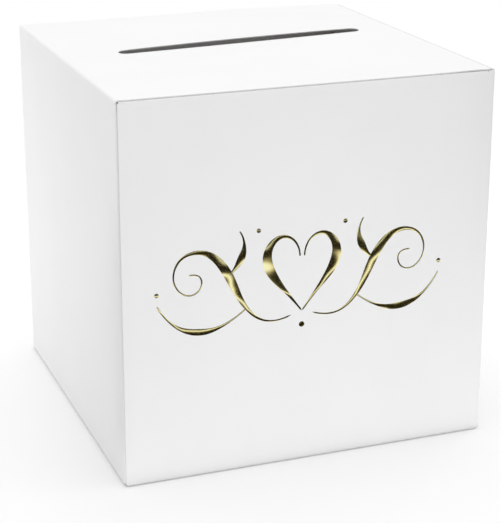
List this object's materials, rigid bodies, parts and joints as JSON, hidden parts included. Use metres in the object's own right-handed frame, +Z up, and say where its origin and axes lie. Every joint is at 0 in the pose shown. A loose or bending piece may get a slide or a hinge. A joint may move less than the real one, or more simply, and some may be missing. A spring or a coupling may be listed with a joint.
{
  "type": "wedding card box",
  "caption": "Square white folding card box with a slotted tuck-in lid, a snap-lock bottom and a gold foil ornament on the front.",
  "frame": {"origin": "middle of the bottom, on the surface that the box stands on", "axes": "+Z up, the front with the ornament faces -Y, +X to the right seen from the front"},
  "size_m": [0.24, 0.2401, 0.24],
  "materials": {
    "coated_board": "satin",
    "dried_glue": "satin",
    "gold_foil": "polished"
  },
  "bodies": {
    "carton": {"back_left_crease": "coated_board", "back_panel": "coated_board", "back_right_crease": "coated_board", "bottom_front_crease": "coated_board", "bottom_front_flap": "coated_board", "bottom_left_crease": "coated_board", "bottom_left_flap": "coated_board", "bottom_lock_tongue": "coated_board", "bottom_rear_crease": "coated_board", "bottom_rear_flap": "coated_board", "bottom_right_crease": "coated_board", "bottom_right_flap": "coated_board", "foil_dots": "gold_foil", "foil_heart": "gold_foil", "foil_left_scroll": "gold_foil", "foil_right_scroll": "gold_foil", "front_left_crease": "coated_board", "front_panel": "coated_board", "front_right_crease": "coated_board", "glue_flap": "coated_board", "glue_line": "dried_glue", "left_panel": "coated_board", "right_panel": "coated_board"},
    "lid": {"lid_panel": "coated_board", "lid_crease": "coated_board"},
    "tuck": {"tuck_flap": "coated_board", "tuck_crease": "coated_board"},
    "front_dust": {"front_dust_flap": "coated_board", "front_dust_crease": "coated_board"},
    "back_dust": {"back_dust_flap": "coated_board", "back_dust_crease": "coated_board"}
  },
  "joints": [
    {"name": "lid_hinge", "type": "hinge", "parent": "carton", "child": "lid", "pos_m": [-0.12, 0, 0.24], "axis": [0, -1, 0], "range_deg": [0, 175], "deforming": ["lid_crease"]},
    {"name": "tuck_fold", "type": "hinge", "parent": "lid", "child": "tuck", "pos_m": [0.1189, 0, 0.24], "axis": [0, -1, 0], "range_deg": [0, 43.75], "deforming": ["tuck_crease"]},
    {"name": "front_dust_fold", "type": "hinge", "parent": "carton", "child": "front_dust", "pos_m": [0, -0.12, 0.23905], "axis": [1, 0, 0], "range_deg": [0, 87.5], "deforming": ["front_dust_crease"]},
    {"name": "back_dust_fold", "type": "hinge", "parent": "carton", "child": "back_dust", "pos_m": [0, 0.12, 0.23905], "axis": [-1, 0, 0], "range_deg": [0, 87.5], "deforming": ["back_dust_crease"]}
  ],
  "couplings": [
    {"joint": "tuck_fold", "follows": "lid_hinge", "ratio": 0.25},
    {"joint": "front_dust_fold", "follows": "lid_hinge", "ratio": 0.5},
    {"joint": "back_dust_fold", "follows": "lid_hinge", "ratio": 0.5}
  ]
}
